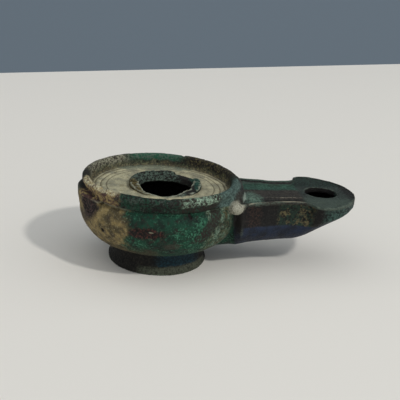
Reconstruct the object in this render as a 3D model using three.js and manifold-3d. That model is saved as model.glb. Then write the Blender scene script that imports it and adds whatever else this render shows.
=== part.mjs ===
// Roman oil lamp, a one-piece bronze casting that has lost its handle.
// Millimetres, +Z up. The origin is the centre of the foot's underside, where a
// turned button meets the surface that the lamp stands on. The nozzle points
// along +X and the handle was at -X.
//
// Everything is one solid: a turned body, a lofted nozzle, two knobs and the
// broken root of the handle are joined, and the chamber, the channel through
// the nozzle, the filling hole, the wick hole and the losses are cut from them.

import * as THREE from 'three';
import { mergeVertices } from 'three/addons/utils/BufferGeometryUtils.js';
import Module from 'manifold-3d';

// ---- driving dimensions ---------------------------------------------------

const WALL = 2.6; // thickness of the cast wall

const FOOT_R = 22.2; // ring foot, at the ground
const FOOT_WAIST_R = 21.3;
const FOOT_H = 9.6; // ground to the start of the bowl
const FOOT_INNER_R = 18.4;
const RECESS_H = 2.2; // depth of the recess inside the ring foot
const RECESS_RING = [10.4, 13.4]; // turned ring in the recess, inner and outer foot
const RECESS_RING_H = 1.1;
const BUTTON_R = 4.6; // turned button at the centre of the recess

const BODY_R = 35.8; // widest part of the bowl
const BODY_Z = 25.5; // height of the widest part
const GROOVE_R = 32.2; // line between the bowl and the rim band
const GROOVE_Z = 32.9;
const RIM_R = 35; // outside of the rim
const RIM_Z = 39.8; // crest of the rim, the top of the lamp
const RIM_ROLL = 1.5; // radius of the rolled crest
const DISCUS_R = 31.2; // the sunk disc inside the rim
const DISCUS_Z = 34.2;
const DISCUS_GROOVES = [29.2, 26.9]; // radii of its turned lines
const GROOVE_DEPTH = 0.5;

const HOLE_X = 2; // the filling hole sits a little towards the nozzle
const HOLE_R = 12.4;
const COLLAR_R = 16.2;
const COLLAR_Z = 36.8;
const COLLAR_WEAR = 0.155; // slope of its worn top, in radians

const NOZZLE_TOP = 33; // height of the nozzle's edges
const NOZZLE_END = 90.8;
const SHOULDER_X = 65.6; // where the neck opens into the wick end
const ARRIS_X = 34.6; // upright edge where the flank meets the bowl
const WICK_X = 75.1;
const WICK_R = 7.8;
const FILLET_R = 38.2; // reach of the fillet between the rim and the nozzle's top

const KNOB_X = 31.2; // knobs at the two roots of the nozzle
const KNOB_Y = 21;
const KNOB_Z = 31.7;
const KNOB_R = 2.5;

const TURNS = 56; // facets round the turned body
const BEND = 30; // degrees that a profile turns between two points
const STRIDE = 4; // and the furthest that they lie apart

// ---- joining and cutting --------------------------------------------------

const solids = await Module();
solids.setup();

// A closed three.js geometry as a solid: positions only, corners merged, and
// the empty triangles that a lathe leaves on its axis dropped.
function solid(geometry) {
  const bare = new THREE.BufferGeometry();
  bare.setAttribute('position', geometry.getAttribute('position'));
  bare.setIndex(geometry.getIndex());
  const merged = mergeVertices(bare, 1e-4);
  const corner = merged.getIndex().array;
  const faces = [];
  for (let i = 0; i < corner.length; i += 3) {
    const [a, b, c] = [corner[i], corner[i + 1], corner[i + 2]];
    if (a !== b && b !== c && c !== a) {
      faces.push(a, b, c);
    }
  }
  return new solids.Manifold(new solids.Mesh({
    numProp: 3,
    vertProperties: Float32Array.from(merged.getAttribute('position').array),
    triVerts: Uint32Array.from(faces),
  }));
}

function geometryOf(manifold) {
  const mesh = manifold.getMesh();
  const geometry = new THREE.BufferGeometry();
  geometry.setAttribute('position', new THREE.BufferAttribute(mesh.vertProperties, 3));
  geometry.setIndex(new THREE.BufferAttribute(mesh.triVerts, 1));
  geometry.computeVertexNormals();
  return geometry;
}

// A path's points, closer together where it turns more.
function pointsOf(path) {
  const points = [path.getPoint(0)];
  for (const curve of path.curves) {
    const turn = THREE.MathUtils.radToDeg(curve.getTangent(0).angleTo(curve.getTangent(1)));
    const straight = curve.type === 'LineCurve';
    const steps = straight ? 1 : Math.ceil(Math.max(turn / BEND, curve.getLength() / STRIDE));
    points.push(...curve.getPoints(steps).slice(1));
  }
  return points;
}

// A turned solid from a path of radius and height that runs anticlockwise,
// from the axis at the bottom to the axis at the top.
function turned(path, facets = TURNS) {
  return solid(new THREE.LatheGeometry(pointsOf(path), facets).rotateX(Math.PI / 2));
}

// A closed skin over rings of points, each ring anticlockwise seen from its far
// side, with both ends closed by a fan.
function skinned(rings) {
  const count = rings[0].length;
  const position = rings.flat().flatMap((p) => [p.x, p.y, p.z]);
  const index = [];
  for (let r = 0; r + 1 < rings.length; r += 1) {
    for (let i = 0; i < count; i += 1) {
      const a = r * count + i;
      const b = r * count + ((i + 1) % count);
      index.push(a, b, b + count, a, b + count, a + count);
    }
  }
  const last = (rings.length - 1) * count;
  for (const [start, flip] of [[0, true], [last, false]]) {
    const centre = position.length / 3;
    const middle = new THREE.Vector3();
    rings[start / count].forEach((p) => middle.addScaledVector(p, 1 / count));
    position.push(middle.x, middle.y, middle.z);
    for (let i = 0; i < count; i += 1) {
      const a = start + i;
      const b = start + ((i + 1) % count);
      index.push(centre, flip ? b : a, flip ? a : b);
    }
  }
  const geometry = new THREE.BufferGeometry();
  geometry.setAttribute('position', new THREE.Float32BufferAttribute(position, 3));
  geometry.setIndex(index);
  return solid(geometry);
}

// A smooth value between stations of [place, value], without overshoot.
function through(stations, place) {
  const last = stations.length - 1;
  if (place <= stations[0][0]) {
    return stations[0][1];
  }
  if (place >= stations[last][0]) {
    return stations[last][1];
  }
  const i = stations.findIndex(([at]) => at > place) - 1;
  const slope = (k) => (stations[k + 1][1] - stations[k][1]) / (stations[k + 1][0] - stations[k][0]);
  const tangent = (k) => {
    if (k === 0 || k === last || slope(k - 1) * slope(k) <= 0) {
      return 0;
    }
    return (2 * slope(k - 1) * slope(k)) / (slope(k - 1) + slope(k));
  };
  const step = stations[i + 1][0] - stations[i][0];
  const t = (place - stations[i][0]) / step;
  const rise = t * t * (3 - 2 * t);
  return (1 - rise) * stations[i][1] + rise * stations[i + 1][1]
    + step * t * (1 - t) * ((1 - t) * tangent(i) - t * tangent(i + 1));
}

// ---- the turned body --------------------------------------------------------

function bodyOutside() {
  const path = new THREE.Path();
  path.moveTo(0, 0);
  // Underside: button, recess with one ridge, ring foot.
  path.lineTo(BUTTON_R, 0);
  path.lineTo(BUTTON_R + 0.8, RECESS_H);
  path.lineTo(RECESS_RING[0], RECESS_H);
  path.lineTo(RECESS_RING[0] + 0.8, RECESS_H - RECESS_RING_H);
  path.lineTo(RECESS_RING[1] - 0.8, RECESS_H - RECESS_RING_H);
  path.lineTo(RECESS_RING[1], RECESS_H);
  path.lineTo(FOOT_INNER_R, RECESS_H);
  path.lineTo(FOOT_INNER_R + 0.5, 0);
  path.lineTo(FOOT_R - 0.6, 0);
  // Foot: a rounded edge, a straight waist and a hollow into the bowl.
  path.quadraticCurveTo(FOOT_R + 0.2, 0.3, FOOT_R, 2);
  path.lineTo(FOOT_WAIST_R, 4.6);
  path.lineTo(FOOT_WAIST_R, 7.6);
  path.quadraticCurveTo(FOOT_WAIST_R + 0.2, FOOT_H, 24, 10.6);
  // Bowl, out to its widest part and in again to the groove.
  path.bezierCurveTo(30.6, 12, BODY_R, 19, BODY_R, BODY_Z);
  path.bezierCurveTo(BODY_R, 29.4, 34.9, 31.8, GROOVE_R + 0.5, GROOVE_Z - 0.6);
  path.lineTo(GROOVE_R, GROOVE_Z);
  // Rim band: a shallow hollow under a rolled crest.
  path.lineTo(GROOVE_R + 1, GROOVE_Z + 0.7);
  path.quadraticCurveTo(GROOVE_R + 1.5, 36, RIM_R - 0.4, 36.7);
  path.quadraticCurveTo(RIM_R, 37.1, RIM_R, RIM_Z - RIM_ROLL);
  path.absarc(RIM_R - RIM_ROLL, RIM_Z - RIM_ROLL, RIM_ROLL, 0, Math.PI * 0.9, false);
  // Discus: a steep fall inside the rim, two turned grooves, a flat floor.
  path.lineTo(DISCUS_R + 0.3, DISCUS_Z + 0.8);
  path.lineTo(DISCUS_R - 0.6, DISCUS_Z);
  for (const groove of DISCUS_GROOVES) {
    path.lineTo(groove + GROOVE_DEPTH, DISCUS_Z);
    path.lineTo(groove, DISCUS_Z - GROOVE_DEPTH);
    path.lineTo(groove - GROOVE_DEPTH, DISCUS_Z);
  }
  path.lineTo(0, DISCUS_Z - 0.3);
  return turned(path);
}

// The oil chamber keeps one wall's thickness inside the body.
function chamber() {
  const ceiling = DISCUS_Z - 2;
  const path = new THREE.Path();
  path.moveTo(0, RECESS_H + WALL);
  path.lineTo(FOOT_WAIST_R - WALL - 1.2, RECESS_H + WALL);
  path.lineTo(FOOT_WAIST_R - WALL, RECESS_H + WALL + 1.2);
  path.lineTo(FOOT_WAIST_R - WALL, 10.4);
  path.quadraticCurveTo(19.4, 13, 23, 13.4);
  path.bezierCurveTo(29, 14.6, BODY_R - WALL, 20, BODY_R - WALL, BODY_Z);
  path.quadraticCurveTo(BODY_R - WALL, ceiling - 1.6, 29.6, ceiling);
  path.lineTo(0, ceiling);
  return turned(path, TURNS / 2);
}

// The raised ring round the filling hole, a solid disc until the hole is cut.
function collar() {
  const path = new THREE.Path();
  path.moveTo(0, DISCUS_Z - 1.4);
  path.lineTo(COLLAR_R + 0.4, DISCUS_Z - 1.4);
  path.lineTo(COLLAR_R, COLLAR_Z - 1);
  path.lineTo(COLLAR_R - 0.8, COLLAR_Z);
  path.lineTo(0, COLLAR_Z);
  return turned(path).translate([HOLE_X, 0, 0]);
}

// ---- the nozzle ---------------------------------------------------------------

// Half the width of its top: a flare onto the bowl, a waisted neck, then eared
// shoulders and a rounded wick end.
const TOP_WIDTH = [
  [18, 15.5], [31.2, 21], [ARRIS_X, 20.2], [37, 19.4], [42, 18], [50, 16.3], [56, 15.3],
  [61, 15.5], [SHOULDER_X, 17], [67.4, 21], [70.4, 22.7], [73, 22.8], [78.4, 20.6],
  [82.6, 17.5], [86.2, 13.2], [88.8, 8.6], [90, 4.6], [NOZZLE_END, 1],
];
// Half the width of the hull, at the foot of its upright flank. It is hollowed
// beside the bowl, behind an arris, and the ears stand out over it.
const HULL_WIDTH = [
  [18, 15.5], [31.2, 16.4], [ARRIS_X, 19.6], [37, 19.1], [42, 17.9], [50, 16.2], [56, 15.2],
  [61, 15.5], [SHOULDER_X, 16.8], [70.4, 19.8], [74, 20.8], [78.4, 19.9],
  [82.6, 17.2], [86.2, 13], [88.8, 8.5], [90, 4.5], [NOZZLE_END, 0.9],
];
// Height of the edge between the flank and the rounded underside.
const FLANK_FOOT = [
  [18, 20], [34, 21.2], [46, 21], [58, 21.2], [SHOULDER_X, 22.4], [69, 24.2], [73, 26], [80, 28],
  [86, 29.4], [NOZZLE_END, 30.6],
];
// Height of the keel, the lowest line of the underside.
const KEEL = [
  [18, 6.6], [30, 7.8], [39, 9.6], [48, 10.5], [58, 11.1], [65, 11.7], [70, 13.2], [76, 16.8],
  [82, 20.8], [87, 24.3], [NOZZLE_END, 28],
];

// One section across the nozzle, seen from the tip. Inside sections are drawn
// one wall in from the outside and leave out the ridges.
function nozzleSection(x, inset = 0) {
  const width = Math.max(through(TOP_WIDTH, x) - inset, 0.6);
  const hull = Math.max(through(HULL_WIDTH, x) - inset, 0.6);
  const panel = NOZZLE_TOP - 0.5 - inset;
  const flank = Math.min(through(FLANK_FOOT, x), panel - 2);
  const keel = through(KEEL, x) + inset;
  const neck = THREE.MathUtils.clamp((SHOULDER_X + 1 - x) / 3, 0, 1);
  const half = [[0, panel]];
  if (inset === 0) {
    const channel = panel - 0.6 * neck;
    const flare = width - hull;
    const hollow = hull - 0.7 * neck;
    const middle = (NOZZLE_TOP + flank) / 2;
    half.push([width * 0.54, panel], [width * 0.54 + 0.5 * neck, channel]);
    half.push([width - Math.min(1.9, width * 0.3), channel]);
    half.push([width - Math.min(1.2, width * 0.2), NOZZLE_TOP], [width * 0.98, NOZZLE_TOP]);
    half.push([width, NOZZLE_TOP - 0.6]);
    half.push([hollow + 0.55 * flare, middle + 2], [hollow + 0.2 * flare, middle - 2]);
  } else {
    half.push([Math.min(width, hull) - 1.6, panel], [Math.min(width, hull), panel - 1.6]);
  }
  half.push([hull, flank]);
  // A full round under the neck, a sharper keel under the wick end.
  const fullness = 1 + 0.7 * THREE.MathUtils.smoothstep(x, 60, 74);
  const steps = inset === 0 ? 6 : 3;
  for (let i = 1; i <= steps; i += 1) {
    const a = (Math.PI / 2) * (i / steps);
    half.push([hull * Math.cos(a) ** fullness, flank - (flank - keel) * Math.sin(a) ** fullness]);
  }
  const other = half.slice(1, -1).map(([y, z]) => [-y, z]);
  return [...half.reverse(), ...other].map(([y, z]) => new THREE.Vector3(x, y, z));
}

function nozzleOutside() {
  const places = [18, 30, 33, ARRIS_X, 36, 39, 43, 47, 51, 55, 59, 63, SHOULDER_X,
    66.5, 67.4, 69, 71, 73.6, 76, 78.6, 81.2, 83.6, 85.8, 87.6, 88.9, 90, NOZZLE_END];
  return skinned(places.map((x) => nozzleSection(x)));
}

// The way from the chamber to the wick, open into the chamber.
function wickChannel() {
  const places = [24, 34, 44, 56, 64, 68, 73, 78, 81.5, 84];
  return skinned(places.map((x) => nozzleSection(x, WALL)));
}

function wickHole() {
  const drill = new THREE.CylinderGeometry(WICK_R, WICK_R - 0.5, 9, 32).rotateX(Math.PI / 2);
  return solid(drill).translate([WICK_X, 0, NOZZLE_TOP]);
}

function knob(side) {
  const ball = new THREE.SphereGeometry(KNOB_R, 12, 8).scale(1.1, 1, 1.15);
  return solid(ball).translate([KNOB_X, side * KNOB_Y, KNOB_Z]);
}

// The rim band runs down onto the top of the nozzle in a hollow fillet.
function fillet() {
  const path = new THREE.Path();
  path.moveTo(GROOVE_R - 0.6, NOZZLE_TOP - 2);
  path.lineTo(FILLET_R, NOZZLE_TOP - 2);
  path.lineTo(FILLET_R, NOZZLE_TOP - 0.4);
  path.quadraticCurveTo(RIM_R + 0.4, NOZZLE_TOP + 0.9, RIM_R - 0.3, NOZZLE_TOP + 3.8);
  path.lineTo(RIM_R - 2.4, NOZZLE_TOP + 3.8);
  path.closePath();
  const span = new THREE.BoxGeometry(20, 2 * KNOB_Y - 4, 20);
  return turned(path).intersect(solid(span).translate([FILLET_R, 0, NOZZLE_TOP]));
}

// ---- the filling hole, the handle's root and the losses ------------------------

// A block that stands on an outline given as a radius for each angle.
function rough(radius, bottom, top, sides) {
  const ring = (z) => Array.from({ length: sides }, (_, i) => {
    const a = (2 * Math.PI * i) / sides;
    return new THREE.Vector3(radius(a) * Math.cos(a), radius(a) * Math.sin(a), z);
  });
  return skinned([ring(bottom), ring(top)]);
}

// The edge of the filling hole has broken unevenly, wider on the near side.
function fillingHole() {
  const radius = (a) => HOLE_R + 0.9 * Math.max(0, -Math.sin(a)) ** 2
    + 0.3 * Math.sin(3 * a + 1) + 0.2 * Math.sin(7 * a) + 0.2 * Math.sin(11 * a + 2);
  return rough(radius, DISCUS_Z - 6, RIM_Z + 2, 44).translate([HOLE_X, 0, 0]);
}

// The collar is worn down in a slope towards the near side, and a piece has
// gone from the far side to the right.
function collarLosses() {
  const slope = new THREE.BoxGeometry(2 * COLLAR_R + 2, 19, 6).rotateX(COLLAR_WEAR);
  const piece = new THREE.BoxGeometry(12.5, 9, 4).rotateZ(-0.72);
  return [
    solid(slope).translate([HOLE_X, -COLLAR_R / 2, COLLAR_Z + 1.9]),
    solid(piece).translate([HOLE_X + 11.6, 11, DISCUS_Z + 2.2]),
  ];
}

// What is left of the handle: a stub that stands off the bowl just under the
// rim and fades out down the back, broken off across the top and torn further
// round on the near side.
function handleRoot() {
  const inner = GROOVE_R - 0.6; // behind the groove, so that no gap is left there
  const shares = [-1, -0.7, -0.35, 0, 0.3, 0.7, 1];
  const swell = [0, 0.75, 1, 0.9, 1.1, 0.7, 0];
  const section = (z, spread, stand) => {
    const at = (radius, share) => {
      const a = Math.PI + THREE.MathUtils.degToRad(spread) * share * (share > 0 ? 1.3 : 1);
      return new THREE.Vector3(radius * Math.cos(a), radius * Math.sin(a), z);
    };
    return [
      ...shares.map((share, i) => at(RIM_R + stand * swell[i], share)),
      ...shares.toReversed().map((share) => at(inner, share)),
    ];
  };
  return skinned([
    section(20.5, 14, -3), section(24, 21, 0.2), section(28, 26, 1.2), section(31, 28, 1.8),
    section(33.2, 27, 1.9), section(34.2, 22, 1.1),
  ]);
}

// ---- the lamp ---------------------------------------------------------------------

function lampBody() {
  let lamp = bodyOutside().add(nozzleOutside()).add(handleRoot()).add(collar());
  lamp = lamp.add(knob(-1)).add(knob(1)).add(fillet());
  for (const cut of [chamber(), wickChannel(), fillingHole(), wickHole(), ...collarLosses()]) {
    lamp = lamp.subtract(cut);
  }
  return lamp;
}

const bronze = new THREE.MeshStandardMaterial({ color: 0x4f6f5c, roughness: 0.8, metalness: 0.35 });
const lamp = new THREE.Mesh(geometryOf(lampBody()), bronze);
lamp.name = 'lamp_body';

const group = new THREE.Group();
group.add(lamp);
export default group;
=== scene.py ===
# %% [markdown]
# # A Roman oil lamp in cast bronze
#
# The lamp is one casting: a round body with a ring foot, a sunk top with a
# broken filling hole, and a long nozzle that opens into an eared wick end. It
# has lain in the ground, so its skin is a crust of green, brown and black.
#
# This lesson models it the way a bronze founder thinks of it. The round parts
# are turned, the nozzle is drawn out section by section, everything is joined
# and hollowed, and then time is let in: chips, pits, crust and colour.

import math

import bmesh
import bpy
import numpy as np
from mathutils import Matrix, Vector


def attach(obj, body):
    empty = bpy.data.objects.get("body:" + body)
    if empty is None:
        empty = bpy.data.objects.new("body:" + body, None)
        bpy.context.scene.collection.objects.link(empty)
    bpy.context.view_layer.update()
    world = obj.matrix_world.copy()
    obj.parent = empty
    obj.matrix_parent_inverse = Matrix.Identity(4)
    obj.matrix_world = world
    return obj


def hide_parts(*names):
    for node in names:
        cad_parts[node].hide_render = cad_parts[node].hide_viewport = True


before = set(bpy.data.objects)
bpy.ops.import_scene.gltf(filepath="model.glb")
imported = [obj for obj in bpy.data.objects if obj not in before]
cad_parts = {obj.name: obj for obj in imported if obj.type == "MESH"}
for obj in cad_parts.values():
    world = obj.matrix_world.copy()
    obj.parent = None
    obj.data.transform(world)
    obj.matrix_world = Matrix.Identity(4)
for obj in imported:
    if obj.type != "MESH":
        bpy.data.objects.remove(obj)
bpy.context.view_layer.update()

# %% [markdown]
# ## The camera
#
# The lamp is seen from a little above, at arm's length, with a lens a bit
# longer than normal, so its circles turn into ellipses without much
# perspective. The camera is aimed by three numbers that a photographer would
# know: where it stands, which way it looks, and how far it is rolled.

# %% Place the camera
MM = 0.001

camera = bpy.data.objects.new("camera", bpy.data.cameras.new("camera"))
bpy.context.scene.collection.objects.link(camera)
camera.data.lens = 72
camera.data.sensor_width = 36
camera.data.clip_start = 0.01
camera.location = Vector((-41.4, -339.34, 148.79)) * MM
looking = Vector((0.1638, 0.9292, -0.3312))
roll = Matrix.Rotation(math.radians(4.28), 4, "Z")
camera.matrix_world = (
    Matrix.Translation(camera.location) @ looking.to_track_quat("-Z", "Y").to_matrix().to_4x4() @ roll
)
bpy.context.scene.camera = camera
print("camera", [round(v, 3) for v in camera.location])

# %% [markdown]
# ## Tools for turned work
#
# A lathe only knows radius and height. A short list of radii and heights is
# drawn as an outline of lines and Bezier curves, laid on a ring of vertices,
# and spun round the Z axis. Modelling is done in millimetres, because the
# numbers are easy to read, and the finished lamp is scaled once at the end.

# %% Selecting and editing
def pick_nothing():
    if bpy.context.mode != "OBJECT":
        bpy.ops.object.mode_set(mode="OBJECT")
    bpy.ops.object.select_all(action="DESELECT")


def pick(piece):
    pick_nothing()
    piece.select_set(True)
    bpy.context.view_layer.objects.active = piece


def edit_all(piece):
    pick(piece)
    bpy.ops.object.mode_set(mode="EDIT")
    bpy.ops.mesh.select_all(action="SELECT")


# %% An outline of lines and curves
class Outline:
    """Points of radius and height, with a point every half millimetre on curves."""

    def __init__(self, radius, height):
        self.points = [(radius, height)]

    def to(self, *places):
        self.points += places
        return self

    def curve(self, *controls):
        ends = [self.points[-1], *controls]
        length = sum(math.dist(a, b) for a, b in zip(ends, ends[1:]))
        steps = max(3, round(length / 0.5))
        for step in range(1, steps + 1):
            t = step / steps
            level = ends
            while len(level) > 1:
                level = [
                    tuple(a + (b - a) * t for a, b in zip(p, q)) for p, q in zip(level, level[1:])
                ]
            self.points.append(level[0])
        return self

    def arc(self, radius, height, reach, start, end):
        steps = max(4, round(abs(end - start) * reach / 0.3))
        for step in range(1, steps + 1):
            a = start + (end - start) * step / steps
            self.points.append((radius + reach * math.cos(a), height + reach * math.sin(a)))
        return self


# %% Turn an outline on the lathe
def ring_of(name, places):
    """A closed ring of edges through places, each (x, y, z)."""
    pick_nothing()
    bpy.ops.mesh.primitive_circle_add(vertices=len(places), radius=1, fill_type="NOTHING")
    ring = bpy.context.object
    ring.name = name
    for vertex, place in zip(ring.data.vertices, places):
        vertex.co = place
    return ring


def turned(name, outline, steps=240):
    piece = ring_of(name, [(r, 0, z) for r, z in outline.points])
    edit_all(piece)
    bpy.ops.mesh.spin(steps=steps, angle=2 * math.pi, center=(0, 0, 0), axis=(0, 0, 1))
    bpy.ops.mesh.select_all(action="SELECT")
    bpy.ops.mesh.remove_doubles(threshold=1e-4)
    bpy.ops.mesh.normals_make_consistent(inside=False)
    pick_nothing()
    print(name, len(piece.data.polygons), "faces")
    return piece


# %% [markdown]
# ## The body
#
# Bowl, foot, rim and sunk top come from one outline, from the button under the
# foot, out over the bowl and in again to the middle of the top. On the real
# lamp these are the surfaces that were cut clean on a lathe after casting,
# which is why its lines and grooves are true circles.

# %% Turn the body
WALL = 2.6
FOOT_R, WAIST_R, INNER_R = 22.2, 21.3, 18.4
BOWL_R, BOWL_Z = 35.8, 25.5
RIM_R, RIM_Z, ROLL = 35.0, 39.8, 1.5
TOP_Z = 34.2

outside = Outline(0, 0).to((4.6, 0), (5.4, 2.2), (10.4, 2.2), (11.2, 1.1), (12.6, 1.1), (13.4, 2.2))
outside.to((INNER_R, 2.2), (INNER_R + 0.5, 0), (FOOT_R - 0.6, 0))
outside.curve((FOOT_R + 0.2, 0.3), (FOOT_R, 2)).to((WAIST_R, 4.6), (WAIST_R, 7.6))
outside.curve((WAIST_R + 0.2, 9.6), (24, 10.6))
outside.curve((30.6, 12), (BOWL_R, 19), (BOWL_R, BOWL_Z))
outside.curve((BOWL_R, 29.4), (34.9, 31.8), (32.7, 32.3)).to((32.2, 32.9), (33.2, 33.6))
outside.curve((33.7, 36), (34.6, 36.7)).curve((35, 37.1), (RIM_R, RIM_Z - ROLL))
outside.arc(RIM_R - ROLL, RIM_Z - ROLL, ROLL, 0, 0.9 * math.pi)
outside.to((31.5, 35)).curve((31.3, 34.3), (30.6, TOP_Z))
for groove in (29.2, 26.9):
    outside.to((groove + 0.5, TOP_Z), (groove, TOP_Z - 0.5), (groove - 0.5, TOP_Z))
outside.to((0, TOP_Z - 0.3))
lamp = turned("lamp", outside)

# %% Turn the hollow inside it
inside = Outline(0, 4.8).to((17.5, 4.8), (18.7, 6), (18.7, 10.4)).curve((19.4, 13), (23, 13.4))
inside.curve((29, 14.6), (BOWL_R - WALL, 20), (BOWL_R - WALL, BOWL_Z))
inside.curve((BOWL_R - WALL, 30.6), (29.6, 32.2)).to((0, 32.2))
chamber = turned("chamber", inside, steps=96)

# %% Turn the collar round the filling hole
HOLE_X, HOLE_R = 2, 12.4
COLLAR_R, COLLAR_Z = 16.2, 36.8

ring = Outline(0, 32.8).to((COLLAR_R + 0.5, 32.8)).curve((COLLAR_R, 34.6), (COLLAR_R, COLLAR_Z - 1))
ring.curve((COLLAR_R, COLLAR_Z), (COLLAR_R - 0.9, COLLAR_Z)).to((0, COLLAR_Z))
collar = turned("collar", ring, steps=160)
collar.data.transform(Matrix.Translation((HOLE_X, 0, 0)))

# %% [markdown]
# ## The nozzle
#
# The nozzle has no axis to turn about. A founder would cut a few templates
# across the wax and work the metal between them, and that is how it is made
# here: a handful of widths and heights along its length, a rule that draws the
# section at any place, and a skin over a section every millimetre.

# %% Sizes along the nozzle
TIP = 90.8
NECK_END = 65.6  # where the ears start
EDGE_Z = 33.0  # height of the edges of its top
TOP_WIDTH = [(18, 15.5), (31.2, 21), (34.6, 20.2), (37, 19.4), (42, 18), (50, 16.3), (56, 15.3),
             (61, 15.5), (NECK_END, 17), (67.4, 21), (70.4, 22.7), (73, 22.8), (78.4, 20.6),
             (82.6, 17.5), (86.2, 13.2), (88.8, 8.6), (90, 4.6), (TIP, 1)]
HULL_WIDTH = [(18, 15.5), (31.2, 16.4), (34.6, 19.6), (37, 19.1), (42, 17.9), (50, 16.2), (56, 15.2),
              (61, 15.5), (NECK_END, 16.8), (70.4, 19.8), (74, 20.8), (78.4, 19.9), (82.6, 17.2),
              (86.2, 13), (88.8, 8.5), (90, 4.5), (TIP, 0.9)]
FLANK_FOOT = [(18, 20), (34, 21.2), (46, 21), (58, 21.2), (NECK_END, 22.4), (69, 24.2), (73, 26),
              (80, 28), (86, 29.4), (TIP, 30.6)]
KEEL = [(18, 6.6), (30, 7.8), (39, 9.6), (48, 10.5), (58, 11.1), (65, 11.7), (70, 13.2), (76, 16.8),
        (82, 20.8), (87, 24.3), (TIP, 28)]


def along(table, x):
    """A smooth value between the table's places, without overshoot."""
    if x <= table[0][0]:
        return table[0][1]
    if x >= table[-1][0]:
        return table[-1][1]
    i = max(k for k, (place, _) in enumerate(table) if place <= x)
    slopes = [(b[1] - a[1]) / (b[0] - a[0]) for a, b in zip(table, table[1:])]

    def tangent(k):
        if k in (0, len(table) - 1) or slopes[k - 1] * slopes[k] <= 0:
            return 0
        return 2 * slopes[k - 1] * slopes[k] / (slopes[k - 1] + slopes[k])

    step = table[i + 1][0] - table[i][0]
    t = (x - table[i][0]) / step
    rise = t * t * (3 - 2 * t)
    bend = step * t * (1 - t) * ((1 - t) * tangent(i) - t * tangent(i + 1))
    return (1 - rise) * table[i][1] + rise * table[i + 1][1] + bend


def smooth(value, low, high):
    t = min(1, max(0, (value - low) / (high - low)))
    return t * t * (3 - 2 * t)


# %% [markdown]
# A section runs from the middle of the top out to the edge and down the flank
# to the keel, and is then mirrored. On the neck it crosses a flat panel, a fine
# bead, a sunk channel and the raised edge line. All of them fade out before the
# wick hole.

# %% Draw one section
def half_section(x, inset=0):
    """(across, height) pairs from the middle of the top to the keel."""
    width = max(along(TOP_WIDTH, x) - inset, 0.6)
    hull = max(along(HULL_WIDTH, x) - inset, 0.6)
    panel = EDGE_Z - 0.5 - inset
    flank = min(along(FLANK_FOOT, x), panel - 2)
    keel = along(KEEL, x) + inset
    neck = 1 - smooth(x, NECK_END - 2, NECK_END + 1)
    if inset:
        edge = min(width, hull)
        half = [(0, panel), (edge - 1.6, panel), (edge - 0.5, panel - 0.5), (edge, panel - 1.6)]
    else:
        bead = 0.54 * width
        floor = panel - 0.7 * neck
        half = [(bead * k / 6, panel) for k in range(6)]
        half += [(bead - 0.5, panel), (bead, panel + 0.3 * neck), (bead + 0.45, panel)]
        half += [(bead + 0.8 * neck + 0.1, floor), (bead + (width - bead) * 0.45, floor)]
        half += [(width - min(1.9, width * 0.3), floor), (width - min(1.3, width * 0.2), EDGE_Z)]
        half += [(width - min(0.7, width * 0.1), EDGE_Z + 0.1 * neck), (width * 0.99, EDGE_Z - 0.1)]
        half += [(width, EDGE_Z - 0.5)]
        hollow = hull - 0.7 * neck
        flare = width - hull
        for k in range(1, 8):
            t = k / 8
            flank_x = hollow + flare * (1 - t) ** 2.2 + (0.7 * neck) * (max(0, 2 * t - 1)) ** 2
            flank_x += (width - hollow - flare) * (max(0, 1 - 3 * t)) ** 2
            half.append((flank_x, EDGE_Z - 0.5 + (flank - EDGE_Z + 0.5) * t))
    half.append((hull, flank))
    fullness = 1 + 0.7 * smooth(x, 60, 74)
    steps = 6 if inset else 16
    for k in range(1, steps + 1):
        a = math.pi / 2 * k / steps
        across = hull * max(0, math.cos(a)) ** fullness
        half.append((across, flank - (flank - keel) * math.sin(a) ** fullness))
    return half


def section(x, inset=0):
    half = half_section(x, inset)
    other = [(-y, z) for y, z in half[1:-1]]
    return [(x, y, z) for y, z in [*reversed(half), *other]]


# %% Extrude a skin from section to section
def drawn_out(name, sections):
    piece = ring_of(name, sections[0])
    pick(piece)
    bpy.ops.object.mode_set(mode="EDIT")
    bpy.ops.mesh.select_all(action="SELECT")
    bpy.ops.mesh.edge_face_add()
    for places in sections[1:]:
        bpy.ops.mesh.extrude_region_move()
        mesh = bmesh.from_edit_mesh(piece.data)
        picked = [v for v in mesh.verts if v.select]
        for vertex, place in zip(picked, places):
            vertex.co = place
        bmesh.update_edit_mesh(piece.data)
    bpy.ops.mesh.select_all(action="SELECT")
    bpy.ops.mesh.normals_make_consistent(inside=False)
    pick_nothing()
    print(name, len(piece.data.polygons), "faces")
    return piece


def stations(first, last, step):
    count = round((last - first) / step)
    return [first + (last - first) * k / count for k in range(count + 1)]


nozzle = drawn_out("nozzle", [section(x) for x in stations(18, 63, 1.5) + stations(63.6, TIP, 0.6)])
wick_way = drawn_out("wick_way", [section(x, WALL) for x in stations(24, 84, 2)])

# %% [markdown]
# ## Small parts that were cast on
#
# Two round knobs stand at the roots of the nozzle, a saddle carries the
# rim down onto its top, and a torn stub shows where the handle sprang from the
# back of the bowl.

# %% The knobs
def knob(side):
    pick_nothing()
    bpy.ops.mesh.primitive_uv_sphere_add(segments=32, ring_count=20, radius=2.6, location=(31.0, 20.9 * side, 31.5))
    ball = bpy.context.object
    edit_all(ball)
    bpy.ops.transform.resize(value=(1.25, 1, 1.05))
    pick_nothing()
    bpy.ops.object.select_all(action="DESELECT")
    ball.select_set(True)
    bpy.ops.object.transform_apply(location=True, rotation=True, scale=True)
    return ball


knobs = [knob(-1), knob(1)]
print("knobs", [len(ball.data.vertices) for ball in knobs])

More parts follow.
